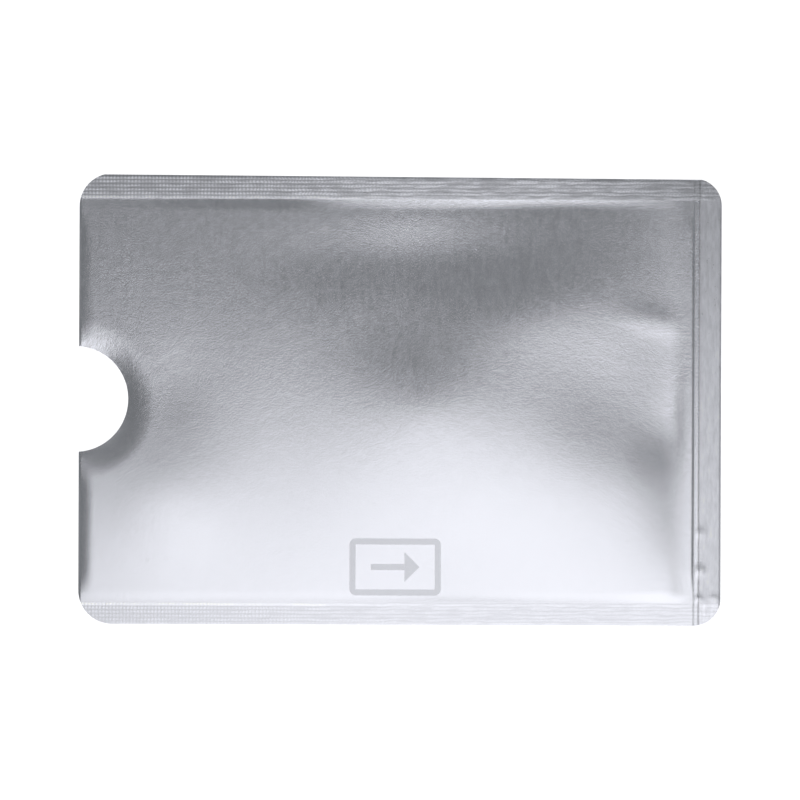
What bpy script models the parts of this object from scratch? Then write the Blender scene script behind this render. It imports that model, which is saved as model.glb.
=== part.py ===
"""Flat card sleeve: a front and a back web of lined aluminium foil, welded along three sides.

The sleeve lies on its back. X runs from the open mouth to the welded end, Y from the lower to
the upper long side, and Z up through the layers. All sizes are in metres.
"""

import math

import bmesh
import bpy
import numpy as np

# Driving dimensions of the sleeve, as cut
sleeve_length = 0.0900
sleeve_width = 0.0630
top_cut_taper = 0.0005
corner_radius = 0.0047
end_corner_radius = 0.0038
notch_radius = 0.0074
notch_centre_beyond_mouth = 0.0005

# How much the top cut takes off the round of the upper corners, which leaves a slight angle there
top_corner_trim = 0.00015

# Layers of a web, and the height of the weld's middle above the table
foil_thickness = 0.00005
lining_thickness = 0.00006
layer_gap = 0.00002
seam_height = 0.00045

# Welds: width of each, and the rows that the sealing bar presses into it
top_weld_width = 0.0034
bottom_weld_width = 0.0031
end_weld_width = 0.0040
weld_row_pitch = 0.00054
weld_row_height = 0.00006
weld_clearance = 0.0001
bottom_weld_sag = 0.00016

# Grooves at the start of the end weld, from the pocket outwards
end_groove_width = 0.00045
end_groove_depth = 0.00008
end_ridge_width = 0.00040
end_ridge_height = 0.00004
end_line_width = 0.00030
end_line_depth = 0.00003

# Pocket: the step up from the welds, the rise of the steepest fold over half the pocket's width,
# the tallest dent, and the distances from the long welds and the end weld at which they are full
shoulder_rise = 0.00003
shoulder_run = 0.0014
fold_rise = 0.00127
fold_run = 0.0015
dent_rise = 0.00050
end_run = 0.0040
back_run = 0.0050

# How the cut edges curl down at the mouth and round the notch: the notch's curl is shallower
# next to the mouth, and the mouth's fades out towards the notch
mouth_curl_drop = 0.00012
mouth_curl_run = 0.0020
mouth_curl_fade = 0.0060
notch_curl_drop = 0.00030
notch_curl_run = 0.0040
notch_side_share = 0.35

# How far a cut or a cutter runs past what it cuts, and how near two points are merged
overrun = 0.0005
merge_distance = 0.000002

# Folds of the front web along the pocket. Each station holds its place from the mouth to the
# end weld (0 to 1), the slope below its crest as a share of the steepest, how high the web meets
# the upper weld as a share of fold_rise, where the crest lies between the long welds (-1 to 1),
# and how round it is (small is a sharp fold).
fold_shares = (
    (0.000, 0.12, 0.00, -0.10, 0.42),
    (0.128, 0.16, 0.01, -0.10, 0.50),
    (0.221, 0.26, 0.03, -0.10, 0.78),
    (0.314, 0.44, 0.04, -0.10, 0.99),
    (0.407, 0.46, -0.01, -0.03, 0.64),
    (0.558, 0.45, -0.03, -0.03, 0.11),
    (0.686, 0.60, -0.05, 0.01, 0.35),
    (0.779, 0.61, -0.05, 0.08, 0.50),
    (0.872, 0.42, -0.04, 0.04, 0.60),
    (0.942, 0.00, -0.02, -0.03, 0.35),
    (1.000, -0.28, 0.00, -0.03, 0.35),
)

# Soft dents and swells of the front web. Each holds its middle along and across the pocket
# (0 to 1 and -1 to 1), its length as a share of the pocket's length, its width as a share of
# the pocket's half width, its turn as a share of a half turn, and its rise as a share of
# dent_rise.
dent_shares = (
    (0.85, 0.06, 0.093, 0.24, -0.167, -0.52),
    (0.95, -0.17, 0.041, 0.12, 0.000, -0.16),
    (0.94, 0.40, 0.040, 0.05, -0.067, 0.10),
    (0.74, 0.47, 0.070, 0.16, 0.111, 0.18),
    (0.14, -0.49, 0.076, 0.23, 0.000, 0.36),
    (0.55, 0.72, 0.140, 0.13, 0.000, -0.40),
    (0.63, -0.77, 0.093, 0.18, 0.000, -0.10),
    (0.52, 0.39, 0.064, 0.18, 0.000, -0.30),
    (0.16, 0.09, 0.041, 0.14, 0.000, -0.10),
    (0.97, -0.84, 0.047, 0.25, 0.000, 0.30),
)

# Grid lines down the step at a weld, as shares of its run
shoulder_line_shares = (1.0, 0.67, 0.33, 0.0)

# Number of grid cells along and across the pocket, and points on a rounded corner and the notch
pocket_cells_along = 32
pocket_cells_across = 22
corner_points = 7
notch_points = 17

# Places that follow from the sizes
mouth_x = -sleeve_length / 2
end_x = sleeve_length / 2
top_y = sleeve_width / 2
bottom_y = -sleeve_width / 2
pocket_end_x = end_x - end_weld_width
pocket_top_y = top_y - top_weld_width
pocket_bottom_y = bottom_y + bottom_weld_width
pocket_length = pocket_end_x - mouth_x
notch_x = mouth_x - notch_centre_beyond_mouth
pocket_middle_y = (pocket_top_y + pocket_bottom_y) / 2
pocket_half_width = (pocket_top_y - pocket_bottom_y) / 2
weld_thickness = 2 * lining_thickness
seam_stack = weld_thickness + 2 * (foil_thickness + layer_gap)
seam_top = seam_height + seam_stack / 2
seam_bottom = seam_height - seam_stack / 2
lining_depth = foil_thickness + layer_gap


def ease(share):
    """A smooth step from 0 to 1."""
    share = min(max(share, 0.0), 1.0)
    return share * share * (3 - 2 * share)


def swell(share):
    """A rise from 0 to 1 that is straight at first and levels out at 1."""
    share = min(max(share, 0.0), 1.0)
    return share * (5 - share ** 4) / 4


def spread(start, stop, cells):
    """The lines between cells of one width, with both ends."""
    return [start + (stop - start) * step / cells for step in range(cells + 1)]


fold_table = np.array(fold_shares)
stations = fold_table[:, 0]
fold_slopes = np.gradient(fold_table, stations, axis=0)


def at_station(place):
    """The folds' values at a place from the mouth (0) to the end weld (1), on a smooth curve."""
    cell = int(np.searchsorted(stations[1:-1], place, side="right"))
    run = stations[cell + 1] - stations[cell]
    share = (place - stations[cell]) / run
    bend = fold_slopes[cell] * (1 - share) - fold_slopes[cell + 1] * share
    straight = fold_table[cell] + (fold_table[cell + 1] - fold_table[cell]) * ease(share)
    return straight + run * share * (1 - share) * bend


def folds(place, across):
    """Height of the folded front web over the lower weld."""
    below, rim, crest, roundness = at_station(place)[1:]
    further = math.hypot(1 - crest, roundness) - math.hypot(1 + crest, roundness)
    above = (below * (2 - further) - 2 * rim) / (2 + further)

    def side(at):
        away = at - crest
        return -((above + below) * math.hypot(away, roundness) + (above - below) * away) / 2

    return fold_rise * (side(across) - side(-1))


def dents(place, across):
    """Rise of all the soft dents and swells."""
    total = 0.0
    for middle, side, half_length, half_width, turn, rise in dent_shares:
        east = (place - middle) * pocket_length
        north = (across - side) * pocket_half_width
        cosine, sine = math.cos(turn * math.pi), math.sin(turn * math.pi)
        ahead = (east * cosine + north * sine) / (half_length * pocket_length)
        aside = (north * cosine - east * sine) / (half_width * pocket_half_width)
        total += dent_rise * rise * math.exp(-(ahead * ahead + aside * aside) / 2)
    return total


def curl(share):
    """A fall that is steepest at 0 and runs out at 1."""
    return (1 - min(max(share, 0.0), 1.0)) ** 2


def curls(x, y):
    """Drop of the cut edges at the mouth and round the thumb notch."""
    from_notch = math.hypot(x - notch_x, y) - notch_radius
    at_mouth = mouth_curl_drop * curl((x - mouth_x) / mouth_curl_run)
    ahead = ease((x - mouth_x) / notch_radius)
    deepening = notch_side_share + (1 - notch_side_share) * ahead
    at_notch = notch_curl_drop * deepening * curl(from_notch / notch_curl_run)
    return at_mouth * ease(from_notch / mouth_curl_fade) + at_notch


def inside_welds(x, y, side_run, run_to_end):
    """0 at the three welds, and 1 further into the pocket than the two runs."""
    return (
        ease((pocket_top_y - y) / side_run)
        * ease((y - pocket_bottom_y) / side_run)
        * ease((pocket_end_x - x) / run_to_end)
    )


def weld_rows(y):
    """Height of the rows pressed into the long welds."""
    depth = max(y - pocket_top_y, pocket_bottom_y - y, 0.0)
    phase = (depth / weld_row_pitch) % 1.0
    return weld_row_height * (1 - abs(2 * phase - 1))


# Break points of the end weld's profile: distance from the pocket, and height
end_profile = (
    (0.0, 0.0),
    (end_groove_width / 2, -end_groove_depth),
    (end_groove_width, 0.0),
    (end_groove_width + end_ridge_width / 2, end_ridge_height),
    (end_groove_width + end_ridge_width, 0.0),
    (end_groove_width + end_ridge_width + end_line_width / 2, -end_line_depth),
    (end_groove_width + end_ridge_width + end_line_width, 0.0),
)


def end_lines(x):
    """Height of the grooves pressed along the start of the end weld."""
    depth = x - pocket_end_x
    for (start, low), (stop, high) in zip(end_profile, end_profile[1:]):
        if start <= depth <= stop:
            return low + (high - low) * (depth - start) / (stop - start)
    return 0.0


def sag(y):
    """How far the lower weld hangs down towards its cut edge."""
    return bottom_weld_sag * max(pocket_bottom_y - y, 0.0) / bottom_weld_width


def pressed(x, y):
    """Height that the sealing bars add to every layer of the welds."""
    return weld_rows(y) + end_lines(x) - sag(y)


def back_bottom(x, y):
    """Height of the back web's outer face, which lies flat on the table under the pocket."""
    from_side = min(pocket_top_y - y, y - pocket_bottom_y)
    sunk = swell(from_side / back_run) * swell((pocket_end_x - x) / back_run)
    return seam_bottom * (1 - sunk) + pressed(x, y)


def grown(x, y):
    """How far the folds have grown from the welds, straight at first from the upper one."""
    return (
        swell((pocket_top_y - y) / fold_run)
        * ease((y - pocket_bottom_y) / fold_run)
        * ease((pocket_end_x - x) / end_run)
    )


def front_top(x, y):
    """Height of the front web's outer face."""
    place = min(max((x - mouth_x) / pocket_length, 0.0), 1.0)
    across = min(max((y - pocket_middle_y) / pocket_half_width, -1.0), 1.0)
    rise = (folds(place, across) + dents(place, across)) * grown(x, y)
    shoulder = inside_welds(x, y, shoulder_run, end_run)
    rise += shoulder_rise * shoulder
    rise -= curls(x, y) * inside_welds(x, y, back_run, back_run)
    resting = back_bottom(x, y) + seam_stack + layer_gap * shoulder
    return max(seam_top + pressed(x, y) + rise, resting)


def weld_top(x, y):
    """Height of the upper face of a weld strip."""
    return seam_top - lining_depth + pressed(x, y)


def row_lines(inner, outer):
    """Grid lines at every ridge and valley of a long weld, from the pocket to past the cut."""
    side = 1 if outer > inner else -1
    halves = math.ceil((abs(outer - inner) + overrun) / (weld_row_pitch / 2))
    return [inner + side * step * weld_row_pitch / 2 for step in range(halves + 1)]


def shoulder_lines(weld):
    """Grid lines down the step at a weld, for a pocket that lies on the lower side of it."""
    return [weld - shoulder_run * share for share in shoulder_line_shares]


def end_weld_lines():
    """Grid lines at every break of the end weld's profile."""
    return [pocket_end_x + depth for depth, height in end_profile] + [end_x + overrun]


def pocket_lines_along(stop):
    """Grid lines of the pocket from before the mouth to a line at or before the end weld."""
    lip = [mouth_x - overrun, mouth_x, mouth_x + mouth_curl_run / 2]
    step = shoulder_lines(pocket_end_x)
    middle = spread(mouth_x + mouth_curl_run, step[0], pocket_cells_along)
    return lip + middle + step[1:-1] + [stop]


def pocket_lines_across(start, stop):
    """Grid lines of the pocket between two lines at or near the long welds."""
    upper = shoulder_lines(pocket_top_y)
    lower = [-line for line in shoulder_lines(-pocket_bottom_y)][::-1]
    middle = spread(lower[-1], upper[0], pocket_cells_across)
    return [start] + lower[1:-1] + middle + upper[1:-1] + [stop]


def arc(centre_x, centre_y, radius, start_turn, stop_turn, points):
    """Points on an arc, with angles as shares of a full turn."""
    turns = spread(start_turn * math.tau, stop_turn * math.tau, points - 1)
    return [(centre_x + radius * math.cos(t), centre_y + radius * math.sin(t)) for t in turns]


def die_outline():
    """The cut edge of the sleeve, anticlockwise from the upper end of the thumb notch."""
    reach = math.acos(notch_centre_beyond_mouth / notch_radius) / math.tau
    end_top_y = top_y - top_cut_taper
    mouth_turn = math.asin(1 - top_corner_trim / corner_radius) / math.tau
    end_turn = math.asin(1 - top_corner_trim / end_corner_radius) / math.tau
    outline = arc(notch_x, 0, notch_radius, reach, -reach, notch_points)
    outline += arc(mouth_x + corner_radius, bottom_y + corner_radius, corner_radius,
                   0.5, 0.75, corner_points)
    outline += arc(end_x - end_corner_radius, bottom_y + end_corner_radius, end_corner_radius,
                   -0.25, 0, corner_points)
    outline += arc(end_x - end_corner_radius, end_top_y + top_corner_trim - end_corner_radius,
                   end_corner_radius, 0, end_turn, corner_points)
    outline += arc(mouth_x + corner_radius, top_y + top_corner_trim - corner_radius,
                   corner_radius, 0.5 - mouth_turn, 0.5, corner_points)
    return outline


def new_material(name, colour, roughness, metallic):
    """A plain surface with the colour, roughness and metallic value of its piece."""
    material = bpy.data.materials.new(name)
    material.use_nodes = True
    surface = material.node_tree.nodes["Principled BSDF"]
    surface.inputs["Base Color"].default_value = (*colour, 1.0)
    surface.inputs["Roughness"].default_value = roughness
    surface.inputs["Metallic"].default_value = metallic
    material.diffuse_color = (*colour, 1.0)
    return material


def new_collection(name):
    """A collection in the scene."""
    collection = bpy.data.collections.new(name)
    bpy.context.scene.collection.children.link(collection)
    return collection


def make_die(collection):
    """The cutting die: the sleeve's outline as a block that reaches past every layer."""
    reach = seam_height + fold_rise + dent_rise + overrun
    curve = bpy.data.curves.new("die_outline", "CURVE")
    curve.dimensions = "2D"
    curve.fill_mode = "BOTH"
    curve.extrude = reach
    points = die_outline()
    spline = curve.splines.new("POLY")
    spline.points.add(len(points) - 1)
    for point, (x, y) in zip(spline.points, points):
        point.co = (x, y, 0, 1)
    spline.use_cyclic_u = True
    outline = bpy.data.objects.new("die_outline", curve)
    collection.objects.link(outline)
    bpy.context.view_layer.update()
    graph = bpy.context.evaluated_depsgraph_get()
    mesh = bpy.data.meshes.new_from_object(outline.evaluated_get(graph))
    bm = bmesh.new()
    bm.from_mesh(mesh)
    bmesh.ops.remove_doubles(bm, verts=bm.verts[:], dist=merge_distance)
    bmesh.ops.recalc_face_normals(bm, faces=bm.faces[:])
    bm.to_mesh(mesh)
    bm.free()
    die = bpy.data.objects.new("die", mesh)
    die.matrix_world = outline.matrix_world
    bpy.data.objects.remove(outline)
    collection.objects.link(die)
    die.hide_render = True
    die.display_type = "WIRE"
    return die


def make_layer(collection, die, name, lines, top_of, thickness, material):
    """One layer: a grid on the given lines, raised to its upper face, thickened and die-cut."""
    along, across = lines
    bm = bmesh.new()
    bmesh.ops.create_grid(
        bm, x_segments=len(along) - 1, y_segments=len(across) - 1, size=1
    )
    for vertex in bm.verts:
        column = round((vertex.co.x + 1) / 2 * (len(along) - 1))
        row = round((vertex.co.y + 1) / 2 * (len(across) - 1))
        x, y = along[column], across[row]
        vertex.co = (x, y, top_of(x, y))
    bmesh.ops.triangulate(bm, faces=bm.faces[:], quad_method="FIXED")
    mesh = bpy.data.meshes.new(name)
    bm.to_mesh(mesh)
    bm.free()
    mesh.materials.append(material)
    mesh.shade_smooth()
    layer = bpy.data.objects.new(name, mesh)
    collection.objects.link(layer)
    wall = layer.modifiers.new("thickness", "SOLIDIFY")
    wall.thickness = thickness
    wall.offset = -1
    cut = layer.modifiers.new("die_cut", "BOOLEAN")
    cut.operation = "INTERSECT"
    cut.solver = "EXACT"
    cut.object = die
    return layer


def make_webs(collection, die):
    """The front and the back web, each a foil with a lining on its inner face."""
    foil = new_material("satin_foil", (0.86, 0.87, 0.89), 0.32, 1.0)
    film = new_material("lining_film", (0.62, 0.64, 0.67), 0.45, 0.0)
    along = pocket_lines_along(pocket_end_x)[:-1] + end_weld_lines()
    across = (
        row_lines(pocket_bottom_y, bottom_y)[::-1]
        + pocket_lines_across(pocket_bottom_y, pocket_top_y)[1:-1]
        + row_lines(pocket_top_y, top_y)
    )
    foil_lines = (along, across)
    lining_lines = (
        pocket_lines_along(pocket_end_x - weld_clearance),
        pocket_lines_across(pocket_bottom_y + weld_clearance, pocket_top_y - weld_clearance),
    )

    def front_lining_top(x, y):
        return front_top(x, y) - lining_depth

    def back_foil_top(x, y):
        return back_bottom(x, y) + foil_thickness

    def back_lining_top(x, y):
        return back_bottom(x, y) + lining_depth + lining_thickness

    make_layer(collection, die, "front_foil", foil_lines, front_top, foil_thickness, foil)
    make_layer(collection, die, "front_lining", lining_lines, front_lining_top,
               lining_thickness, film)
    make_layer(collection, die, "back_lining", lining_lines, back_lining_top,
               lining_thickness, film)
    make_layer(collection, die, "back_foil", foil_lines, back_foil_top, foil_thickness, foil)


def make_welds(collection, die):
    """The strips where the two linings have melted into one, along three sides."""
    melt = new_material("weld_melt", (0.70, 0.71, 0.74), 0.40, 0.0)
    along = [mouth_x - overrun] + end_weld_lines()
    top_rows = row_lines(pocket_top_y, top_y)
    bottom_rows = row_lines(pocket_bottom_y, bottom_y)[::-1]
    between = [pocket_bottom_y + weld_clearance, pocket_top_y - weld_clearance]
    welds = {
        "top_weld": (along, top_rows),
        "bottom_weld": (along, bottom_rows),
        "end_weld": (end_weld_lines(), between),
    }
    for name, lines in welds.items():
        make_layer(collection, die, name, lines, weld_top, weld_thickness, melt)


def main():
    for old in list(bpy.data.objects):
        bpy.data.objects.remove(old)
    sleeve = new_collection("card_sleeve")
    die = make_die(new_collection("cutters"))
    make_webs(sleeve, die)
    make_welds(sleeve, die)


main()
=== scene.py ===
"""Looks of the foil card sleeve: fine pressed sheets, their finishes, and a plain studio.

The sleeve lies on its back in the frame of its CAD model: X runs from the open mouth to the
welded end, Y from the lower to the upper long side, and Z up. Sizes are in metres, and the
materials reckon in millimetres.
"""

import logging
import math
from collections.abc import Callable
from dataclasses import dataclass
from enum import Enum

import bmesh
import bpy
import numpy as np
from bpy.types import Material, Mesh, Node, Object
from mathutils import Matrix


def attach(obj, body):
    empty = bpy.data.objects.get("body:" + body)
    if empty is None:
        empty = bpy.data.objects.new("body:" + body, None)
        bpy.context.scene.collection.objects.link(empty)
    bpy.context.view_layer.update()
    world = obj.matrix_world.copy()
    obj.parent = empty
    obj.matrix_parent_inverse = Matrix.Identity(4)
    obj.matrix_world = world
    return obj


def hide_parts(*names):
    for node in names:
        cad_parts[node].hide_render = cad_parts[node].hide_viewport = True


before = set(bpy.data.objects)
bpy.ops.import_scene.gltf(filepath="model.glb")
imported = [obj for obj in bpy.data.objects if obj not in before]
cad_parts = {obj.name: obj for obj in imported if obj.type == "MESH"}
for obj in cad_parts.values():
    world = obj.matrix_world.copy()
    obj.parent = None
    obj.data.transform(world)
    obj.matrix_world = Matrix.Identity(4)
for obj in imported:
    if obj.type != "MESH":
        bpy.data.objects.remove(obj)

log = logging.getLogger("card_sleeve")

Array = np.ndarray
Colour = tuple[float, float, float]
Height = Callable[[Array, Array], Array]
MILLIMETRES = 1000.0
WHITE = (1.0, 1.0, 1.0)


class Side(Enum):
    """The two long sides of the sleeve."""

    UPPER = "upper"
    LOWER = "lower"


class Web(Enum):
    """The two webs that the sleeve is welded from."""

    FRONT = "front"
    BACK = "back"


def ease(share: Array) -> Array:
    """A smooth step from 0 to 1."""
    share = np.clip(share, 0.0, 1.0)
    return share * share * (3 - 2 * share)


def curl(share: Array) -> Array:
    """A fall that is steepest at 0 and runs out at 1."""
    return (1 - np.clip(share, 0.0, 1.0)) ** 2


def swell(share: Array) -> Array:
    """A rise from 0 to 1 that is straight at first and levels out at 1."""
    share = np.clip(share, 0.0, 1.0)
    return share * (5 - share ** 4) / 4


def hill(x: Array, y: Array, half_length: float, half_width: float) -> Array:
    """A soft hill of height 1 round the origin."""
    return np.exp(-((x / half_length) ** 2 + (y / half_width) ** 2) / 2)


def turned(x: Array, y: Array, turn: float) -> tuple[Array, Array]:
    """Places ahead and aside of an axis that is turned by a share of a half turn."""
    cosine, sine = math.cos(turn * math.pi), math.sin(turn * math.pi)
    return x * cosine + y * sine, y * cosine - x * sine


def stretch(start: float, stop: float, pitch: float) -> Array:
    """Lines from start to stop, about a pitch apart, with both ends."""
    cells = max(round(abs(stop - start) / pitch), 1)
    return np.linspace(start, stop, cells + 1)


def joined(*parts: Array) -> Array:
    """Lines of several stretches in rising order, each place once."""
    return np.unique(np.round(np.concatenate(parts), 9))


@dataclass(frozen=True)
class SleeveForm:
    """The shape that every layer of the sleeve follows."""

    length: float = 0.0900
    width: float = 0.0630
    cut_taper: float = 0.0005
    corner_radius: float = 0.0047
    end_corner_radius: float = 0.0038
    top_corner_trim: float = 0.00015
    notch_radius: float = 0.0074
    notch_beyond_mouth: float = 0.0005
    foil_thickness: float = 0.00005
    lining_thickness: float = 0.00006
    layer_gap: float = 0.00002
    seam_height: float = 0.00045
    top_weld_width: float = 0.0034
    bottom_weld_width: float = 0.0031
    end_weld_width: float = 0.0040
    row_pitch: float = 0.00054
    row_height: float = 0.000006
    row_fade_share: float = 0.45
    lower_sag: float = 0.00016
    upper_lift: float = 0.00016
    lift_run: float = 0.024
    lift_end_x: float = 0.042
    shoulder_rise: float = 0.000003
    shoulder_run: float = 0.0014
    fold_rise: float = 0.00127
    fold_run: float = 0.0015
    end_run: float = 0.0040
    dent_rise: float = 0.00050
    mouth_curl_drop: float = 0.00012
    mouth_curl_run: float = 0.0020
    mouth_curl_fade: float = 0.0060
    notch_curl_drop: float = 0.00030
    notch_curl_run: float = 0.0040
    notch_side_share: float = 0.35
    lip_rise: float = 0.00003
    lip_length: float = 0.0030
    lip_fall: float = 0.00033
    lip_start: float = 0.00018
    back_run: float = 0.0050
    edge_drop: float = 0.00003
    edge_run: float = 0.00030
    # The fold: place from mouth to end weld, slope below the crest, height at the upper weld,
    # crest across and roundness
    folds: tuple = (
        (0.000, 0.12, 0.00, -0.10, 0.42),
        (0.128, 0.16, 0.01, -0.10, 0.50),
        (0.221, 0.26, 0.03, -0.10, 0.78),
        (0.314, 0.44, 0.04, -0.10, 0.99),
        (0.407, 0.46, -0.01, -0.03, 0.64),
        (0.558, 0.45, -0.03, -0.03, 0.11),
        (0.686, 0.60, -0.05, 0.01, 0.35),
        (0.779, 0.61, -0.05, 0.08, 0.50),
        (0.872, 0.42, -0.04, 0.04, 0.60),
        (0.942, 0.00, -0.02, -0.03, 0.35),
        (1.000, -0.28, 0.00, -0.03, 0.35),
    )
    # Dents and swells, all as shares: middle along and across the pocket, half length and width,
    # turn and rise
    dents: tuple = (
        (0.85, 0.06, 0.093, 0.24, -0.167, -0.52),
        (0.95, -0.17, 0.041, 0.12, 0.000, -0.16),
        (0.94, 0.40, 0.040, 0.05, -0.067, 0.10),
        (0.74, 0.47, 0.070, 0.16, 0.111, 0.18),
        (0.14, -0.49, 0.076, 0.23, 0.000, 0.36),
        (0.55, 0.72, 0.140, 0.13, 0.000, -0.40),
        (0.63, -0.77, 0.093, 0.18, 0.000, -0.10),
        (0.52, 0.39, 0.064, 0.18, 0.000, -0.30),
        (0.16, 0.09, 0.041, 0.14, 0.000, -0.10),
        (0.97, -0.84, 0.047, 0.25, 0.000, 0.30),
    )
    # Start and end of each ridge or groove of the end weld, and its height
    end_profile: tuple = (
        (0.00010, 0.00044, -0.000018),
        (0.00052, 0.00082, 0.000006),
        (0.00084, 0.00102, -0.000016),
    )
    # Blisters in the end weld: place, half size and rise
    blisters: tuple = (
        (0.0422, -0.0185, 0.00036, 0.000050),
        (0.0422, -0.0238, 0.00042, 0.000070),
        (0.0441, -0.0276, 0.00036, 0.000040),
        (0.0420, -0.0277, 0.00032, 0.000040),
    )

    @property
    def mouth_x(self) -> float:
        """Where the mouth's cut edge lies."""
        return -self.length / 2

    @property
    def end_x(self) -> float:
        """Where the welded end's cut edge lies."""
        return self.length / 2

    @property
    def pocket_end_x(self) -> float:
        """Where the pocket meets the end weld."""
        return self.end_x - self.end_weld_width

    @property
    def pocket_top_y(self) -> float:
        """Where the pocket meets the upper weld."""
        return self.width / 2 - self.top_weld_width

    @property
    def pocket_bottom_y(self) -> float:
        """Where the pocket meets the lower weld."""
        return self.bottom_weld_width - self.width / 2

    @property
    def pocket_length(self) -> float:
        """Length of the pocket."""
        return self.pocket_end_x - self.mouth_x

    @property
    def pocket_middle_y(self) -> float:
        """The pocket's middle line."""
        return (self.pocket_top_y + self.pocket_bottom_y) / 2

    @property
    def pocket_half_width(self) -> float:
        """Half the pocket's width."""
        return (self.pocket_top_y - self.pocket_bottom_y) / 2

    @property
    def notch_x(self) -> float:
        """Where the middle of the thumb notch lies."""
        return self.mouth_x - self.notch_beyond_mouth

    @property
    def lining_depth(self) -> float:
        """How far a lining's outer face lies inside its foil's."""
        return self.foil_thickness + self.layer_gap

    @property
    def seam_stack(self) -> float:
        """Thickness of the welded edge."""
        return 2 * (self.lining_thickness + self.lining_depth)

    @property
    def seam_top(self) -> float:
        """Height of the welded edge's upper face."""
        return self.seam_height + self.seam_stack / 2

    @property
    def seam_bottom(self) -> float:
        """Height of the welded edge's lower face."""
        return self.seam_height - self.seam_stack / 2

    def station(self, place: Array, column: int) -> Array:
        """One value of the folds.

        Args:
            place: Places along the pocket, from 0 at the mouth to 1 at the end weld.
            column: Which value of a station to read.

        Returns:
            The value at each place, on a smooth curve through the stations.
        """
        table = np.array(self.folds)
        stations, values = table[:, 0], table[:, column]
        slopes = np.gradient(values, stations)
        cell = np.clip(np.searchsorted(stations, place, side="right") - 1, 0, len(stations) - 2)
        run = stations[cell + 1] - stations[cell]
        share = (place - stations[cell]) / run
        bend = slopes[cell] * (1 - share) - slopes[cell + 1] * share
        straight = values[cell] + (values[cell + 1] - values[cell]) * ease(share)
        return straight + run * share * (1 - share) * bend

    def folded(self, place: Array, across: Array) -> Array:
        """Height of the folded front web over the lower weld.

        Args:
            place: Places along the pocket, 0 to 1.
            across: Places across the pocket, -1 to 1.

        Returns:
            The height at each place, in metres.
        """
        below, rim, crest, roundness = (self.station(place, n) for n in (1, 2, 3, 4))
        further = np.hypot(1 - crest, roundness) - np.hypot(1 + crest, roundness)
        above = (below * (2 - further) - 2 * rim) / (2 + further)

        def side(at: Array | float) -> Array:
            """Height of the fold at a place across, as a share of the rise."""
            away = at - crest
            return -((above + below) * np.hypot(away, roundness) + (above - below) * away) / 2

        return self.fold_rise * (side(across) - side(-1.0))

    def dented(self, place: Array, across: Array) -> Array:
        """Rise of all the soft dents and swells.

        Args:
            place: Places along the pocket, 0 to 1.
            across: Places across the pocket, -1 to 1.

        Returns:
            The rise at each place, in metres.
        """
        total = np.zeros_like(place)
        for middle, side, half_length, half_width, turn, rise in self.dents:
            east = (place - middle) * self.pocket_length
            north = (across - side) * self.pocket_half_width
            ahead, aside = turned(east, north, turn)
            total += self.dent_rise * rise * hill(
                ahead, aside, half_length * self.pocket_length, half_width * self.pocket_half_width
            )
        return total

    def from_sides(self, y: Array) -> Array:
        """How far a place lies inside the nearer long weld."""
        return np.minimum(self.pocket_top_y - y, y - self.pocket_bottom_y)

    def curls(self, x: Array, y: Array) -> Array:
        """Curl of the cut edges at the mouth and round the thumb notch.

        Args:
            x, y: Places along and across the sleeve.

        Returns:
            The drop at each place.
        """
        from_notch = np.hypot(x - self.notch_x, y) - self.notch_radius
        at_mouth = self.mouth_curl_drop * curl((x - self.mouth_x) / self.mouth_curl_run)
        ahead = ease((x - self.mouth_x) / self.notch_radius)
        deepening = self.notch_side_share + (1 - self.notch_side_share) * ahead
        at_notch = self.notch_curl_drop * deepening * curl(from_notch / self.notch_curl_run)
        return at_mouth * ease(from_notch / self.mouth_curl_fade) + at_notch

    def inside_welds(
        self, x: Array, y: Array, run: float, end_run: float, at_top: Callable = ease
    ) -> Array:
        """How far a rise has grown from the welds.

        Args:
            x, y: Places along and across the sleeve.
            run: Distance from a long weld at which the rise is full.
            end_run: The same from the end weld.
            at_top: How the rise grows from the upper weld.

        Returns:
            0 at the three welds, and 1 further into the pocket than the runs.
        """
        return (
            at_top((self.pocket_top_y - y) / run)
            * ease((y - self.pocket_bottom_y) / run)
            * ease((self.pocket_end_x - x) / end_run)
        )

    def weld_rows(self, x: Array, y: Array) -> Array:
        """Rows pressed into the long welds.

        Args:
            x, y: Places along and across the sleeve.

        Returns:
            The height at each place, which fades towards the end weld.
        """
        depth = np.maximum(-self.from_sides(y), 0.0)
        fading = 1 - self.row_fade_share * ease((x - self.mouth_x) / self.length)
        return self.row_height * fading * (0.5 - 0.5 * np.cos(math.tau * depth / self.row_pitch))

    def end_lines(self, x: Array) -> Array:
        """The lines pressed along the end weld's start.

        Args:
            x: Places along the sleeve.

        Returns:
            The height at each place.
        """
        depth = x - self.pocket_end_x
        total = np.zeros_like(x)
        for start, stop, height in self.end_profile:
            share = np.clip((depth - start) / (stop - start), 0.0, 1.0)
            total += height * (0.5 - 0.5 * np.cos(math.tau * share))
        return total

    def sag(self, x: Array, y: Array) -> Array:
        """How far the lower weld hangs down to its cut edge, less how far the upper one lifts.

        Args:
            x, y: Places along and across the sleeve.

        Returns:
            The drop at each place. The upper weld's lift fades out towards the end weld.
        """
        lower = self.lower_sag * np.maximum(self.pocket_bottom_y - y, 0.0) / self.bottom_weld_width
        lift = self.upper_lift * ease((self.lift_end_x - x) / self.lift_run)
        return lower - lift * np.maximum(y - self.pocket_top_y, 0.0) / self.top_weld_width

    def pressed(self, x: Array, y: Array) -> Array:
        """Relief of the welds, which every layer follows.

        Args:
            x, y: Places along and across the sleeve.

        Returns:
            The height at each place over a flat weld.
        """
        total = self.weld_rows(x, y) + self.end_lines(x) - self.sag(x, y)
        for middle_x, middle_y, half_size, rise in self.blisters:
            total += rise * hill(x - middle_x, y - middle_y, half_size, half_size)
        return total

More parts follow.
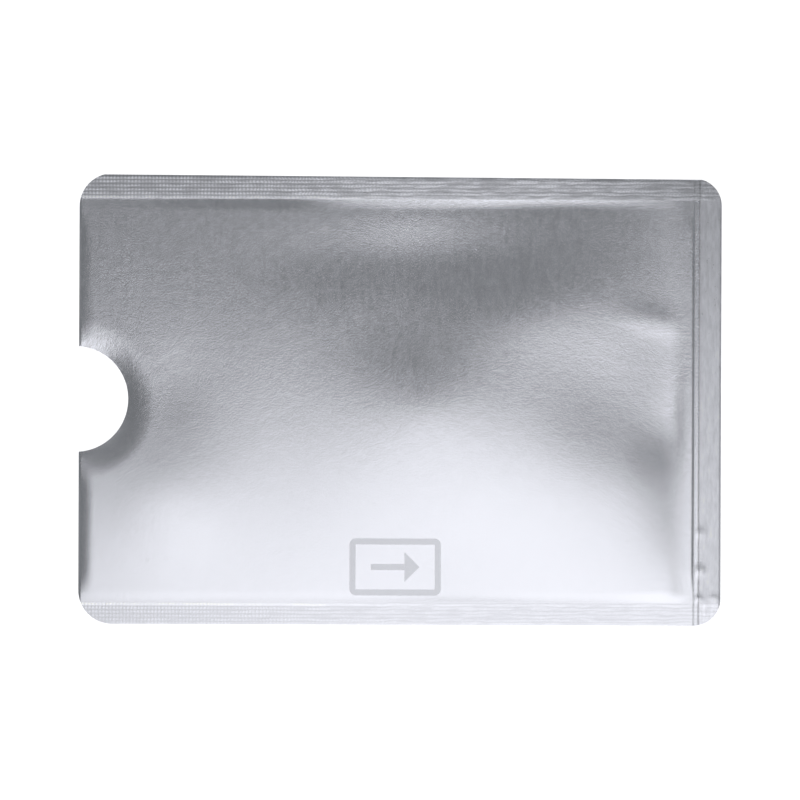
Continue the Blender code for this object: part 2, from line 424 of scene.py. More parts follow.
    def edge_distance(self, x: Array, y: Array) -> Array:
        """Distance from the cut outline, notch included.

        Args:
            x, y: Places along and across the sleeve.

        Returns:
            The distance inwards from the nearest cut.
        """
        top = self.width / 2 - self.cut_taper * (x - self.mouth_x) / self.length
        straight = np.minimum(
            np.minimum(x - self.mouth_x, self.end_x - x), np.minimum(top - y, y + self.width / 2)
        )
        return np.minimum(straight, np.hypot(x - self.notch_x, y) - self.notch_radius)

    def end_lip(self, x: Array, y: Array) -> Array:
        """Lip at which the front web drops onto the end weld.

        Args:
            x, y: Places along and across the sleeve.

        Returns:
            The lip's height at each place.
        """
        from_weld = x - self.pocket_end_x
        climb = ease((from_weld + self.lip_start) / self.lip_length + 1)
        fall = 1 - ease((from_weld + self.lip_start) / self.lip_fall)
        sides = ease(self.from_sides(y) / self.back_run)
        return self.lip_rise * climb * fall * sides

    def front_top(self, x: Array, y: Array) -> Array:
        """Height of the front web's outer face.

        Args:
            x, y: Places along and across the sleeve.

        Returns:
            The height at each place, never below what the web rests on.
        """
        place = np.clip((x - self.mouth_x) / self.pocket_length, 0.0, 1.0)
        across = np.clip((y - self.pocket_middle_y) / self.pocket_half_width, -1.0, 1.0)
        rise = self.folded(place, across) + self.dented(place, across)
        rise *= self.inside_welds(x, y, self.fold_run, self.end_run, swell)
        shoulder = self.inside_welds(x, y, self.shoulder_run, self.end_run)
        rise = rise + self.shoulder_rise * shoulder + self.end_lip(x, y)
        rise -= self.curls(x, y) * self.inside_welds(x, y, self.back_run, self.back_run)
        rolled = self.edge_drop * (1 - ease(self.edge_distance(x, y) / self.edge_run))
        resting = self.back_bottom(x, y) + self.seam_stack + self.layer_gap * shoulder
        return np.maximum(self.seam_top + self.pressed(x, y) + rise, resting) - rolled

    def back_bottom(self, x: Array, y: Array) -> Array:
        """Height of the back web's outer face.

        Args:
            x, y: Places along and across the sleeve.

        Returns:
            The height at each place, which is flat under the pocket.
        """
        from_end = self.pocket_end_x - x
        sides = swell(self.from_sides(y) / self.back_run)
        sunk = self.seam_bottom * sides * swell(from_end / self.back_run)
        return self.seam_bottom + self.pressed(x, y) - sunk

    def weld_top(self, x: Array, y: Array) -> Array:
        """Height of a weld strip's upper face."""
        return self.seam_top - self.lining_depth + self.pressed(x, y)


class Signal:
    """A shader socket that takes part in Python sums."""

    def __init__(self, bench: "Bench", socket: bpy.types.NodeSocket) -> None:
        """Wraps a socket of the bench's tree."""
        self.bench = bench
        self.socket = socket

    def math(self, operation: str, *values: "Signal | float") -> "Signal":
        """The result of a Math node on this signal and the other operands."""
        sockets = dict(enumerate((self, *values)))
        return self.bench.value("ShaderNodeMath", {"operation": operation}, sockets)

    def __add__(self, other: "Signal | float") -> "Signal":
        """The sum."""
        return self.math("ADD", other)

    def __sub__(self, other: "Signal | float") -> "Signal":
        """The difference."""
        return self.math("SUBTRACT", other)

    def __rsub__(self, other: float) -> "Signal":
        """The difference, from the right."""
        return (self * -1.0) + other

    def __mul__(self, other: "Signal | float") -> "Signal":
        """The product."""
        return self.math("MULTIPLY", other)

    __radd__ = __add__
    __rmul__ = __mul__

    def __abs__(self) -> "Signal":
        """The size without its sign."""
        return self.math("ABSOLUTE")

    def least(self, other: "Signal | float") -> "Signal":
        """The smaller of two."""
        return self.math("MINIMUM", other)

    def most(self, other: "Signal | float") -> "Signal":
        """The larger of two."""
        return self.math("MAXIMUM", other)

    def root(self) -> "Signal":
        """The square root."""
        return self.math("SQRT")

    def ramp(self, start: float, stop: float, low: float = 0.0, high: float = 1.0) -> "Signal":
        """A smooth step on this signal.

        Args:
            start, stop: Where the step leaves its low value and reaches its high one.
            low, high: The values before and after the step.

        Returns:
            The stepped signal.
        """
        settings = {"interpolation_type": "SMOOTHSTEP"}
        span = {"From Min": start, "From Max": stop, "To Min": low, "To Max": high}
        return self.bench.value("ShaderNodeMapRange", settings, {"Value": self, **span})

    def waves(self, pitch: float) -> "Signal":
        """Waves between 0 and 1 that rise through a half at 0."""
        return (self * (math.tau / pitch)).math("SINE") * 0.5 + 0.5

    def filled(self, share: "Signal | float") -> "Signal":
        """This signal drawn towards 1 by a share."""
        return self * (1.0 - share) + share

    def axes(self) -> "tuple[Signal, Signal, Signal]":
        """The three parts of a vector."""
        split = self.bench.node("ShaderNodeSeparateXYZ", {}, {0: self})
        return tuple(Signal(self.bench, split.outputs[n]) for n in range(3))

    def stretched(self, scales: Colour) -> "Signal":
        """A place with each axis scaled by itself."""
        return self.bench.value("ShaderNodeMapping", {}, {"Vector": self, "Scale": scales})

    def noise(self, scales: Colour, detail: float = 2.0, roughness: float = 0.5) -> "Signal":
        """Cloudy noise round 0, read at a place in millimetres.

        Args:
            scales: Cycles per millimetre along X, Y and Z.
            detail: Octaves of the noise.
            roughness: How strong each finer octave is.

        Returns:
            The noise, from about -0.5 to 0.5.
        """
        sockets = {"Vector": self.stretched(scales), "Scale": 1.0}
        sockets |= {"Detail": detail, "Roughness": roughness}
        return self.bench.value("ShaderNodeTexNoise", {"noise_dimensions": "3D"}, sockets) - 0.5

    def cells(self, scales: Colour) -> "tuple[Signal, Signal]":
        """Scattered points, read at a place in millimetres.

        Args:
            scales: Points per millimetre along X, Y and Z.

        Returns:
            The distance to the nearest point in cell sizes, and that point's random number.
        """
        sockets = {"Vector": self.stretched(scales), "Scale": 1.0}
        points = self.bench.node("ShaderNodeTexVoronoi", {}, sockets)
        number = Signal(self.bench, points.outputs["Color"]).axes()[0]
        return Signal(self.bench, points.outputs["Distance"]), number


class Bench:
    """Adds the nodes of one material or world."""

    def __init__(self, owner: Material | bpy.types.World) -> None:
        """Starts on an empty node tree.

        Args:
            owner: The material or world that has the tree.
        """
        owner.use_nodes = True
        self.tree = owner.node_tree
        self.tree.nodes.clear()

    def node(self, kind: str, settings: dict, sockets: dict) -> Node:
        """Adds a node.

        Args:
            kind: The node's type name.
            settings: Properties that are set before its sockets.
            sockets: Values or signals for its inputs, by name or by place.

        Returns:
            The new node.
        """
        made = self.tree.nodes.new(kind)
        for name, value in settings.items():
            setattr(made, name, value)
        for key, value in sockets.items():
            if isinstance(value, Signal):
                self.tree.links.new(value.socket, made.inputs[key])
            else:
                made.inputs[key].default_value = value
        return made

    def value(self, kind: str, settings: dict, sockets: dict, output: str | int = 0) -> Signal:
        """Adds a node and wraps one of its outputs, by name or by place."""
        return Signal(self, self.node(kind, settings, sockets).outputs[output])

    def scaled(self, vector: Signal | Colour, factor: Signal | float) -> Signal:
        """A vector or a colour times a factor."""
        sockets = {0: vector, "Scale": factor}
        return self.value("ShaderNodeVectorMath", {"operation": "SCALE"}, sockets)

    def place(self) -> Signal:
        """The object's own coordinates, in millimetres."""
        return self.scaled(self.value("ShaderNodeTexCoord", {}, {}, "Object"), MILLIMETRES)

    def mix_colour(self, share: Signal, first: Colour | Signal, second: Colour | Signal) -> Signal:
        """A blend of two colours.

        Args:
            share: How much of the second colour shows.
            first, second: Colours or colour signals.

        Returns:
            The blended colour.
        """
        ends = (end if isinstance(end, Signal) else (*end, 1.0) for end in (first, second))
        sockets = dict(zip((0, 6, 7), (share, *ends)))
        return self.value("ShaderNodeMix", {"data_type": "RGBA"}, sockets, 2)

    def bump(self, height: Signal, depth: float) -> Signal:
        """A normal from a relief, which is given as shares of a depth in metres."""
        sockets = {"Height": height, "Distance": depth, "Strength": 1.0}
        return self.value("ShaderNodeBump", {}, sockets)

    def end(self, shader: Signal, kind: str = "ShaderNodeOutputMaterial") -> None:
        """Ends the tree in a shader."""
        self.node(kind, {}, {0: shader})

    def surface(self, sockets: dict) -> None:
        """Ends the tree in a Principled surface with the given sockets."""
        self.end(self.value("ShaderNodeBsdfPrincipled", {}, sockets))


@dataclass(frozen=True)
class PrintedMark:
    """A plain printed pictogram of a card with an arrow that points into the sleeve."""

    middle: tuple[float, float] = (-0.6, -23.4)
    half_length: float = 6.4
    half_width: float = 4.0
    corner: float = 0.9
    line: float = 0.85
    arrow_half_length: float = 3.4
    arrow_head: float = 2.1
    softness: float = 0.05

    def mask(self, x: Signal, y: Signal) -> Signal:
        """Where the ink lies.

        Args:
            x, y: Places along and across the sleeve, in millimetres.

        Returns:
            1 on the ink and 0 off it.
        """
        x = x - self.middle[0]
        y = y - self.middle[1]
        over_x = (abs(x) - (self.half_length - self.corner)).most(0.0)
        over_y = (abs(y) - (self.half_width - self.corner)).most(0.0)
        rim = (over_x * over_x + over_y * over_y).root() - self.corner
        half_line, half_head = self.line / 2, self.arrow_head / 2
        card = abs(rim + half_line) - half_line
        tip = self.arrow_half_length
        shaft = (abs(y) - half_line).most(abs(x + half_head) - (tip - half_head))
        head = (x + abs(y) - tip).most((tip - self.arrow_head) - x)
        return card.least(shaft.least(head)).ramp(self.softness, -self.softness)


@dataclass(frozen=True)
class Blend:
    """How strongly the foil's three fine noises count in one quality of its surface."""

    streaks: float
    grain: float
    mottle: float

    def of(self, streaks: Signal, grain: Signal, mottle: Signal) -> Signal:
        """The weighted sum of the three noises."""
        return streaks * self.streaks + grain * self.grain + mottle * self.mottle


@dataclass(frozen=True)
class SatinFoil:
    """Rolled aluminium foil under a clear film, with its lengths in millimetres."""

    form: SleeveForm
    mark: PrintedMark | None = None
    colour: Colour = (0.865, 0.872, 0.940)
    ink: Colour = (0.87, 0.875, 0.94)
    ink_dulling: float = 0.20
    ink_roughening: float = 0.12
    roughness: float = 0.20
    upper_weld_roughening: float = 0.10
    lower_weld_roughening: float = 0.03
    end_roughening: float = 0.09
    side_blend: float = 5.0
    shading: Blend = Blend(0.06, 0.08, 0.03)
    hazing: Blend = Blend(0.06, 0.16, 0.06)
    scuff_shade: float = 0.36
    # How dark the shade painted along the end weld's outer groove is
    painted_groove_shade: float = 0.24
    relief_unit: float = 0.000001
    fine_relief: Blend = Blend(3.0, 9.0, 8.0)
    cloud_relief: float = 5.0
    pit_relief: float = 4.5
    bead_pitch: float = 0.49
    bead_relief: float = 4.5
    tick_pitch: float = 0.52
    tick_relief: float = 4.0
    band_relief: float = 7.0
    scratch_relief: float = 2.5
    speck_pitch: float = 3.2
    speck_foot: float = 0.34
    speck_rim: float = 0.22
    speck_floor: float = 0.05
    speck_depth: float = 1.6
    speck_relief: float = 2.4

    def by_side(self, y: Signal, lower: float, upper: float) -> Signal:
        """A value that changes from the lower side to the upper one."""
        return y.ramp(-self.side_blend, self.side_blend, lower, upper)

    def knurl(self, at: Signal, x: Signal, depth: Signal) -> Signal:
        """The beads that the sealing bar's knurl leaves along each row.

        Args:
            at: Places on the sleeve.
            x: Places along the sleeve.
            depth: Depth in the weld.

        Returns:
            0 in the gaps and up to 1 on the beads, which blur into streaks towards the end weld.
        """
        pitch = self.form.row_pitch * MILLIMETRES
        blurred = x.ramp(-32.0, 8.0)
        sway = at.noise((0.30, 1.4, 1.0)) * (blurred * 0.8 + 0.10)
        row = (depth + sway - pitch / 4).waves(pitch)
        wobble = at.noise((0.5, 2.2, 1.0), 1.0) * (blurred * 4.0 + 0.5)
        beads = (x + wobble * self.bead_pitch).waves(self.bead_pitch)
        worn = at.noise((0.35, 1.5, 1.0)).ramp(-0.16, 0.10, 0.45, 1.0)
        return row.root().filled(blurred * 0.25) * beads.filled(blurred * 0.30 + 0.40) * worn

    def ticks(self, at: Signal, y: Signal, depth: Signal) -> Signal:
        """The fine ticks beside the end weld's line, and the pitted band beyond them.

        Args:
            at: Places on the sleeve.
            y: Places across the sleeve.
            depth: Depth in the end weld.

        Returns:
            The relief in micrometres, and 0 off the end weld.
        """
        strip = depth.ramp(0.70, 0.85) * depth.ramp(1.50, 1.15)
        worn = at.noise((0.6, 0.25, 1.0)).ramp(-0.15, 0.10, 0.25, 1.0)
        fading = depth.ramp(0.85, 1.05) * depth.ramp(3.6, 1.4, 0.35, 1.0)
        band = at.noise((1.1, 0.8, 1.0)) * fading
        scratches = at.noise((2.2, 0.10, 1.0), 1.0) * depth.ramp(1.0, 1.4)
        relief = y.waves(self.tick_pitch) * strip * worn * self.tick_relief
        return relief + band * self.band_relief + scratches * self.scratch_relief

    def specks(self, at: Signal) -> Signal:
        """Few small dents with a raised rim, as dust leaves them under the film.

        Args:
            at: Places on the sleeve.

        Returns:
            The relief in micrometres.
        """
        distance, number = at.cells((1 / self.speck_pitch,) * 3)
        away = distance * self.speck_pitch
        hollow = away.ramp(self.speck_rim, self.speck_floor) * self.speck_depth
        dent = away.ramp(self.speck_foot, self.speck_rim) - hollow
        return dent * number.ramp(0.55, 0.95) * self.speck_relief

    def material(self, name: str) -> Material:
        """Makes the finish.

        Args:
            name: The material's name.

        Returns:
            The material.
        """
        material = bpy.data.materials.new(name)
        bench = Bench(material)
        at = bench.place()
        x, y, _ = at.axes()
        streaks = at.noise((2.2, 0.22, 0.5), 3.0, 0.65)
        grain = at.noise((5.2, 3.9, 0.5), 3.0, 0.7)
        mottle = at.noise((1.1, 0.75, 0.5), 3.0, 0.6)
        clouds = at.noise((0.22, 0.16, 0.5), 3.0, 0.55)
        pits = at.noise((1.7, 2.0, 1.0), 3.0, 0.6)
        fine = (streaks, grain, mottle)
        worn = y.ramp(-18.0, 6.0, 0.3, 1.0)
        above = y - self.form.pocket_top_y * MILLIMETRES
        depth = above.most(self.form.pocket_bottom_y * MILLIMETRES - y)
        end_depth = x - self.form.pocket_end_x * MILLIMETRES
        weld = depth.ramp(-0.10, 0.15)
        end_weld = end_depth.ramp(0.6, 1.1) * (1.0 - weld)
        knurl = self.knurl(at, x, depth)

        # Painted light on the long welds: the upper weld is painted lighter and the lower one a
        # little darker, and the row next to the pocket is painted lighter, most towards the mouth.
        last_row = depth.ramp(0.62, 0.42) * depth.ramp(-0.05, 0.05)
        painted_side_and_rim_light = self.by_side(y, -0.02, 0.06) + last_row * x.ramp(-20.0, 10.0, 0.20, 0.04)
        # Painted shade and light on the long welds: the gaps between the knurl's beads are painted
        # darker, more strongly on the upper weld than on the lower one, and the side and rim light
        # above is added.
        painted_weld_shade_and_light = weld * ((knurl - 1.0) * self.by_side(y, 0.16, 0.56) + painted_side_and_rim_light)
        scuffs = at.noise((2.6, 0.6, 1.0)) * end_depth.ramp(0.6, 1.1) * self.scuff_shade
        # Painted shade along the end weld's outer groove.
        line = end_depth.ramp(0.84, 0.90) * end_depth.ramp(1.06, 0.98) * self.painted_groove_shade
        # Painted shade: the end weld is painted darker towards its upper end and a little lighter
        # at its lower end.
        painted_end_shade = end_weld * y.ramp(2.0, 26.0, 0.02, -0.12)
        shade = 1.0 + self.shading.of(*fine) * worn + painted_end_shade + painted_weld_shade_and_light + scuffs - line
        colour = bench.scaled(self.colour, shade)
        metal: Signal | float = 1.0

        rougher = self.by_side(y, self.lower_weld_roughening, self.upper_weld_roughening)
        rougher = weld * rougher + end_weld * self.end_roughening
        hazy = self.hazing.of(*fine) * worn * (1.0 - weld.most(end_weld) * 0.6)
        roughness = self.roughness + rougher + hazy
        if self.mark is not None:
            ink = self.mark.mask(x, y) * at.noise((7.0, 5.0, 1.0)).ramp(-0.30, -0.12)
            colour = bench.mix_colour(ink, colour, self.ink)
            metal = 1.0 - ink * self.ink_dulling
            roughness = roughness + ink * self.ink_roughening

        height = self.fine_relief.of(*fine) * worn + clouds * self.cloud_relief + self.specks(at)
        height = height + weld * (knurl * self.bead_relief + pits * self.pit_relief)
        height = height + self.ticks(at, y, end_depth) * (1.0 - weld)
        bench.surface(
            {
                "Base Color": colour,
                "Metallic": metal,
                "Roughness": roughness,
                "Normal": bench.bump(height, self.relief_unit),
            }
        )
        return material


@dataclass(frozen=True)
class LiningFilm:
    """Milky heat-sealing film on the inner face of a web."""

    colour: Colour = (0.62, 0.64, 0.67)
    metal: float = 0.35
    roughness: float = 0.42
    haze_scales: Colour = (0.35, 0.25, 0.5)
    haze_share: float = 0.10
    grain_scales: Colour = (3.0, 0.15, 0.5)
    grain_shade: float = 0.06
    grain_relief: float = 0.3
    relief: float = 0.00001

    def grain(self, at: Signal) -> Signal:
        """Fine streaks."""
        return at.noise(self.grain_scales, 3.0)

    def material(self, name: str) -> Material:
        """Makes the finish.

        Args:
            name: The material's name.

        Returns:
            The material.
        """
        material = bpy.data.materials.new(name)
        bench = Bench(material)
        at = bench.place()
        haze, grain = at.noise(self.haze_scales, 3.0), self.grain(at)
        shade = 1.0 + haze * self.haze_share + grain * self.grain_shade
        bench.surface(
            {
                "Base Color": bench.scaled(self.colour, shade),
                "Metallic": self.metal,
                "Roughness": self.roughness + haze * self.haze_share,
                "Normal": bench.bump(haze + grain * self.grain_relief, self.relief),
            }
        )
        return material


@dataclass(frozen=True)
class WeldMelt(LiningFilm):
    """The two linings, melted into one and pressed by the sealing bar."""

    colour: Colour = (0.70, 0.71, 0.74)
    metal: float = 0.2
    roughness: float = 0.38
    haze_scales: Colour = (0.8, 1.6, 1.0)
    haze_share: float = 0.12
    grain_scales: Colour = (3.0, 3.0, 3.0)
    grain_shade: float = 0.0
    grain_relief: float = 0.2

    def grain(self, at: Signal) -> Signal:
        """Fine pores."""
        return at.cells(self.grain_scales)[0]


def shown(name: str, data: bpy.types.ID) -> Object:
    """A new object in the scene.

    Args:
        name: The object's name.
        data: Its mesh, camera or lamp.

    Returns:
        The object, at the origin.
    """
    made = bpy.data.objects.new(name, data)
    bpy.context.scene.collection.objects.link(made)
    return made


def moulded(name: str, shape: bmesh.types.BMesh) -> Object:
    """A new object in the scene from a finished shape.

    Args:
        name: The name of the object and of its mesh.
        shape: The shape, which is freed.

    Returns:
        The object, at the origin.
    """
    mesh = bpy.data.meshes.new(name)
    shape.to_mesh(mesh)
    shape.free()
    return shown(name, mesh)


def add_cut(target: Object, tool: Object, operation: str) -> None:
    """Adds a cut by another object.

    Args:
        target: The object that is cut.
        tool: The object that cuts it.
        operation: Whether the tool's inside is kept or taken away.
    """
    cut = target.modifiers.new("cut", "BOOLEAN")
    cut.operation = operation
    cut.solver = "EXACT"
    cut.object = tool


def keep_mesh(source: Object, name: str) -> Mesh:
    """The mesh of an object with its modifiers applied.

    Args:
        source: The object, which is removed.
        name: The new mesh's name.

    Returns:
        The mesh.
    """
    bpy.context.view_layer.update()
    graph = bpy.context.evaluated_depsgraph_get()
    mesh = bpy.data.meshes.new_from_object(source.evaluated_get(graph))
    mesh.name = name
    old = source.data
    bpy.data.objects.remove(source)
    bpy.data.meshes.remove(old)
    return mesh


@dataclass
class CuttingDie:
    """The die that cuts the welded sheets out of the web."""

    form: SleeveForm
    reach: float = 0.004
    corner_segments: int = 16
    notch_segments: int = 128

    def blank(self) -> Object:
        """The outline without its thumb notch, whose top cut trims the upper corners' arcs.

        Returns:
            The outline as a block.
        """
        form = self.form
        bm = bmesh.new()
        bmesh.ops.create_grid(bm, x_segments=1, y_segments=1, size=0.5)
        for vertex in bm.verts:
            vertex.co.x *= form.length
            vertex.co.y *= form.width
            if vertex.co.y > 0:
                vertex.co.y += form.top_corner_trim
                if vertex.co.x > 0:
                    vertex.co.y -= form.cut_taper
        for sign_x, sign_y in ((-1, -1), (1, -1), (1, 1), (-1, 1)):
            radius = form.end_corner_radius if sign_x > 0 else form.corner_radius
            corner = max(bm.verts, key=lambda v: v.co.x * sign_x + v.co.y * sign_y)
            bmesh.ops.bevel(
                bm, geom=[corner], offset=radius, segments=self.corner_segments,
                profile=0.5, affect="VERTICES", material=-1,
            )
        bmesh.ops.bisect_plane(
            bm, geom=bm.verts[:] + bm.edges[:] + bm.faces[:], clear_outer=True,
            plane_co=(form.mouth_x, form.width / 2, 0), plane_no=(form.cut_taper, form.length, 0),
        )
        bmesh.ops.translate(bm, verts=bm.verts[:], vec=(0, 0, -self.reach))
        lifted = bmesh.ops.extrude_face_region(bm, geom=bm.faces[:])
        top = [item for item in lifted["geom"] if isinstance(item, bmesh.types.BMVert)]
        bmesh.ops.translate(bm, verts=top, vec=(0, 0, 2 * self.reach))
        bmesh.ops.recalc_face_normals(bm, faces=bm.faces[:])
        return moulded("die_blank", bm)

    def punch(self) -> Object:
        """The punch of the thumb notch.

        Returns:
            The punch as a round block.
        """
        form = self.form
        bm = bmesh.new()
        bmesh.ops.create_cone(
            bm, cap_ends=True, segments=self.notch_segments, radius1=form.notch_radius,
            radius2=form.notch_radius, depth=3 * self.reach,
        )
        bmesh.ops.translate(bm, verts=bm.verts[:], vec=(form.notch_x, 0, 0))
        return moulded("notch_punch", bm)

    def make(self) -> Object:
        """Makes the die.

        Returns:
            The block that cuts every layer.
        """
        blank, punch = self.blank(), self.punch()
        add_cut(blank, punch, "DIFFERENCE")
        mesh = keep_mesh(blank, "die")
        bpy.data.objects.remove(punch)
        return shown("die", mesh)


@dataclass
class SheetMaker:
    """Presses, thickens and cuts one layer at a time."""

    die: Object
    crease: float = math.radians(60)

    def sheet(
        self, name: str, along: Array, across: Array, top_of: Height,
        thickness: float, material: Material,
    ) -> Object:
        """Makes one layer.

        Args:
            name: The piece's name.
            along: Grid lines along X, in metres.
            across: Grid lines along Y, in metres.
            top_of: The height of the layer's upper face at given places.
            thickness: The layer's thickness.
            material: The layer's finish.

        Returns:
            The layer as an object at the origin.
        """
        bm = bmesh.new()
        bmesh.ops.create_grid(bm, x_segments=len(along) - 1, y_segments=len(across) - 1, size=1)
        pressing = moulded(name + "_blank", bm)
        points = pressing.data.vertices
        places = np.empty(len(points) * 3)
        points.foreach_get("co", places)
        places = places.reshape(-1, 3)
        column = np.rint((places[:, 0] + 1) / 2 * (len(along) - 1)).astype(int)
        row = np.rint((places[:, 1] + 1) / 2 * (len(across) - 1)).astype(int)
        places[:, 0], places[:, 1] = along[column], across[row]
        places[:, 2] = top_of(places[:, 0], places[:, 1])
        points.foreach_set("co", places.ravel())
        pressing.data.update()
        wall = pressing.modifiers.new("thickness", "SOLIDIFY")
        wall.thickness = thickness
        wall.offset = -1
        add_cut(pressing, self.die, "INTERSECT")
        mesh = keep_mesh(pressing, name)
        mesh.materials.clear()
        mesh.materials.append(material)
        mesh.shade_smooth()
        mesh.set_sharp_from_angle(angle=self.crease)
        log.info("%s: %d faces", name, len(mesh.polygons))
        return shown(name, mesh)


@dataclass
class SheetLines:
    """Grid lines of the layers, fine where the relief is fine."""

    form: SleeveForm
    pocket_pitch: float = 0.00045
    shoulder_pitch: float = 0.00015
    edge_pitch: float = 0.00012
    edge_band: float = 0.0004
    groove_pitch: float = 0.000075
    band_pitch: float = 0.0003
    cells_per_row: int = 4
    overrun: float = 0.0003
    weld_clearance: float = 0.0001

    def along(self, stop: float) -> Array:
        """Lines along the pocket.

        Args:
            stop: Where they end, near the end weld.

        Returns:
            The lines from before the mouth.
        """
        edge = self.form.mouth_x + self.edge_band
        shoulder = stop - self.form.shoulder_run
        return joined(
            stretch(self.form.mouth_x - self.overrun, edge, self.edge_pitch),
            stretch(edge, shoulder, self.pocket_pitch),
            stretch(shoulder, stop, self.shoulder_pitch),
        )

    def end_weld(self) -> Array:
        """Lines along the end weld.

        Returns:
            The lines from the pocket to past the cut.
        """
        start = self.form.pocket_end_x
        last = start + self.form.end_profile[-1][1]
        edge = self.form.end_x - self.edge_band
        return joined(
            stretch(start, last, self.groove_pitch),
            stretch(last, edge, self.band_pitch),
            stretch(edge, self.form.end_x + self.overrun, self.edge_pitch),
        )

    def weld_rows(self, side: Side) -> Array:
        """Lines across a long weld.

        Args:
            side: Which of the two.

        Returns:
            The lines in rising order, which run past the cut.
        """
        cut = self.form.width / 2 + self.overrun
        ends = {
            Side.UPPER: (self.form.pocket_top_y, cut), Side.LOWER: (-cut, self.form.pocket_bottom_y)
        }
        return stretch(*ends[side], self.form.row_pitch / self.cells_per_row)

    def across(self, start: float, stop: float) -> Array:
        """Lines across the pocket.

        Args:
            start: Where they start, near the lower weld.
            stop: Where they end, near the upper weld.

        Returns:
            The lines in rising order.
        """
        first, last = start + self.form.shoulder_run, stop - self.form.shoulder_run
        return joined(
            stretch(start, first, self.shoulder_pitch),
            stretch(first, last, self.pocket_pitch),
            stretch(last, stop, self.shoulder_pitch),
        )


@dataclass
class LinedWeb:
    """One web of the sleeve: its foil and the lining on its inner face."""

    web: Web
    form: SleeveForm
    lines: SheetLines
    foil: Material
    film: Material

    def layer_top(self, depth: float, thickness: float) -> Height:
        """Where a layer of the web lies.

        Args:
            depth: How far it lies inside the web's outer face.
            thickness: How thick it is.

        Returns:
            The height of its upper face at given places.
        """
        form = self.form
        if self.web is Web.FRONT:
            return lambda x, y: form.front_top(x, y) - depth
        return lambda x, y: form.back_bottom(x, y) + depth + thickness

    def make(self, maker: SheetMaker) -> list[Object]:
        """Makes the web's two layers.

        Args:
            maker: Presses and cuts the layers.

        Returns:
            The foil and the lining.
        """
        form, lines, name = self.form, self.lines, self.web.value
        foil = maker.sheet(
            f"{name}_foil_sheet",
            joined(lines.along(form.pocket_end_x), lines.end_weld()),
            joined(
                lines.weld_rows(Side.LOWER),
                lines.across(form.pocket_bottom_y, form.pocket_top_y),
                lines.weld_rows(Side.UPPER),
            ),
            self.layer_top(0.0, form.foil_thickness), form.foil_thickness, self.foil,
        )
        gap = lines.weld_clearance
        lining = maker.sheet(
            f"{name}_lining_sheet",
            lines.along(form.pocket_end_x - gap),
            lines.across(form.pocket_bottom_y + gap, form.pocket_top_y - gap),
            self.layer_top(form.lining_depth, form.lining_thickness),
            form.lining_thickness, self.film,
        )
        for piece, node, slot in (
            (foil, f"{name}_foil", "foil"), (lining, f"{name}_lining", "lining"),
        ):
            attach(piece, "root")
            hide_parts(node)
        return [foil, lining]


@dataclass
class WeldStrips:
    """The strips where the linings have melted into one, along three sides."""

    form: SleeveForm
    lines: SheetLines
    melt: Material

    def make(self, maker: SheetMaker) -> list[Object]:
        """Makes the three strips.

        Args:
            maker: Presses and cuts the strips.

        Returns:
            The strips.
        """
        form, lines, gap = self.form, self.lines, self.lines.weld_clearance
        whole = joined(lines.along(form.pocket_end_x), lines.end_weld())
        between = stretch(form.pocket_bottom_y + gap, form.pocket_top_y - gap, lines.pocket_pitch)
        spans = {
            "top_weld": (whole, lines.weld_rows(Side.UPPER)),
            "bottom_weld": (whole, lines.weld_rows(Side.LOWER)),
            "end_weld": (lines.end_weld(), between),
        }
        strips = []
        for node, (along, across) in spans.items():
            strip = maker.sheet(
                f"{node}_strip", along, across, form.weld_top, 2 * form.lining_thickness, self.melt
            )
            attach(strip, "root")
            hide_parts(node)
            strips.append(strip)
        return strips


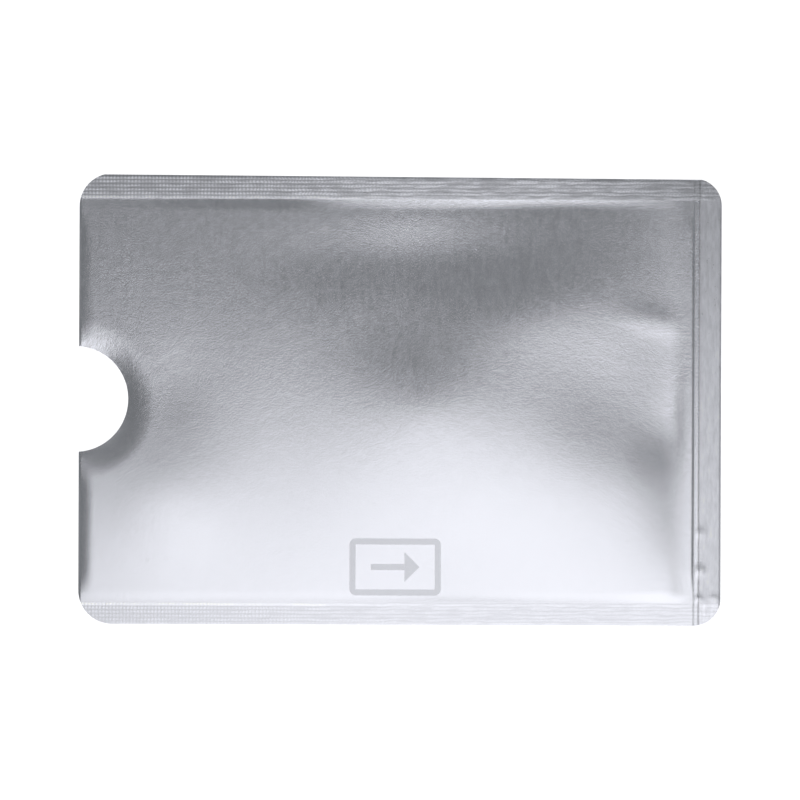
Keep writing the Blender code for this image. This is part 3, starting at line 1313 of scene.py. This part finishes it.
@dataclass
class Studio:
    """A white table under a wide soft lamp, with the camera straight above the sleeve."""

    camera_height: float = 0.600
    frame_width: float = 0.1122
    sensor: float = 36.0
    roll: float = math.radians(0.2)
    nearest_seen: float = 0.01
    floor_size: float = 6.0
    floor_drop: float = 0.00005
    floor_shade: float = 0.55
    floor_glow: float = 0.80
    lamp_height: float = 1.5
    lamp_width: float = 0.59
    lamp_middle: float = 0.065
    lamp_near: float = -0.0146
    lamp_far: float = -2.8
    lamp_radiance: float = 1.32
    lamp_watts: float = 2.5
    room_colour: Colour = (0.97, 1.0, 1.0)
    ceiling: float = 0.155
    horizon: float = 1.0
    ceiling_tilt: float = math.radians(20)
    horizon_tilt: float = math.radians(80)
    wall_start: float = 0.12
    wall_stop: float = 0.67

    def make_camera(self) -> None:
        """Hangs the camera over the middle of the sleeve."""
        data = bpy.data.cameras.new("overhead_camera")
        data.sensor_width = self.sensor
        data.lens = self.sensor * self.camera_height / self.frame_width
        data.clip_start = self.nearest_seen
        camera = shown("overhead_camera", data)
        camera.location = (0, 0, self.camera_height)
        camera.rotation_euler = (0, 0, self.roll)
        bpy.context.scene.camera = camera

    def make_lamp(self) -> None:
        """Hangs the soft lamp over the lower side of the table."""
        data = bpy.data.lights.new("soft_lamp", "AREA")
        data.shape = "RECTANGLE"
        data.size = self.lamp_width
        data.size_y = self.lamp_near - self.lamp_far
        data.energy = self.lamp_radiance * self.lamp_watts * data.size * data.size_y
        lamp = shown("soft_lamp", data)
        lamp.location = (self.lamp_middle, (self.lamp_near + self.lamp_far) / 2, self.lamp_height)

    def make_world(self) -> None:
        """Lights the room: dim overhead, white to the horizon, the upper wall and the camera."""
        world = bpy.data.worlds.new("studio_room")
        bench = Bench(world)
        _, north, up = bench.value("ShaderNodeTexCoord", {}, {}, "Generated").axes()
        tilt = up.least(1.0).most(-1.0).math("ARCCOSINE")
        room = tilt.ramp(self.ceiling_tilt, self.horizon_tilt, self.ceiling, self.horizon)
        seen = bench.value("ShaderNodeLightPath", {}, {}, "Is Camera Ray")
        wall = north.ramp(self.wall_start, self.wall_stop, self.ceiling, self.horizon)
        strength = room.most(wall).most(seen)
        light = {"Color": bench.mix_colour(seen, self.room_colour, WHITE), "Strength": strength}
        bench.end(bench.value("ShaderNodeBackground", {}, light), "ShaderNodeOutputWorld")
        bpy.context.scene.world = world

    def make_floor(self) -> None:
        """Lays the white table, which keeps the sleeve's soft shadow."""
        bm = bmesh.new()
        bmesh.ops.create_grid(bm, x_segments=1, y_segments=1, size=self.floor_size / 2)
        bmesh.ops.translate(bm, verts=bm.verts[:], vec=(0, 0, -self.floor_drop))
        table = moulded("table_top", bm)
        material = bpy.data.materials.new("white_table")
        bench = Bench(material)
        seen, mirrored, through = (
            bench.value("ShaderNodeLightPath", {}, {}, f"Is {kind} Ray")
            for kind in ("Camera", "Glossy", "Transmission")
        )
        strength = seen.most(mirrored).most(through) * self.floor_glow
        light = {"Color": (*WHITE, 1.0), "Strength": strength}
        glow = bench.value("ShaderNodeEmission", {}, light)
        shade = {"Color": (*[self.floor_shade] * 3, 1.0)}
        shadow = bench.value("ShaderNodeBsdfDiffuse", {}, shade)
        bench.end(bench.value("ShaderNodeAddShader", {}, {0: shadow, 1: glow}))
        table.data.materials.append(material)

    def make(self) -> None:
        """Sets up the whole studio."""
        bpy.context.scene.view_settings.view_transform = "Standard"
        self.make_camera()
        self.make_lamp()
        self.make_world()
        self.make_floor()


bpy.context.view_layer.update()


def main() -> None:
    """Builds the sleeve and the studio."""
    logging.basicConfig(level=logging.INFO, format="%(name)s %(message)s")
    Studio().make()
    form = SleeveForm()
    die = CuttingDie(form).make()
    maker = SheetMaker(die)
    lines = SheetLines(form)
    film = LiningFilm().material("lining_film_finish")
    front_foil = SatinFoil(form, PrintedMark()).material("front_foil_finish")
    back_foil = SatinFoil(form).material("back_foil_finish")
    melt = WeldMelt().material("weld_melt_finish")
    pieces = LinedWeb(Web.FRONT, form, lines, front_foil, film).make(maker)
    pieces += LinedWeb(Web.BACK, form, lines, back_foil, film).make(maker)
    pieces += WeldStrips(form, lines, melt).make(maker)
    bpy.data.objects.remove(die)
    log.info("%d pieces", len(pieces))


if __name__ == "__main__":
    main()
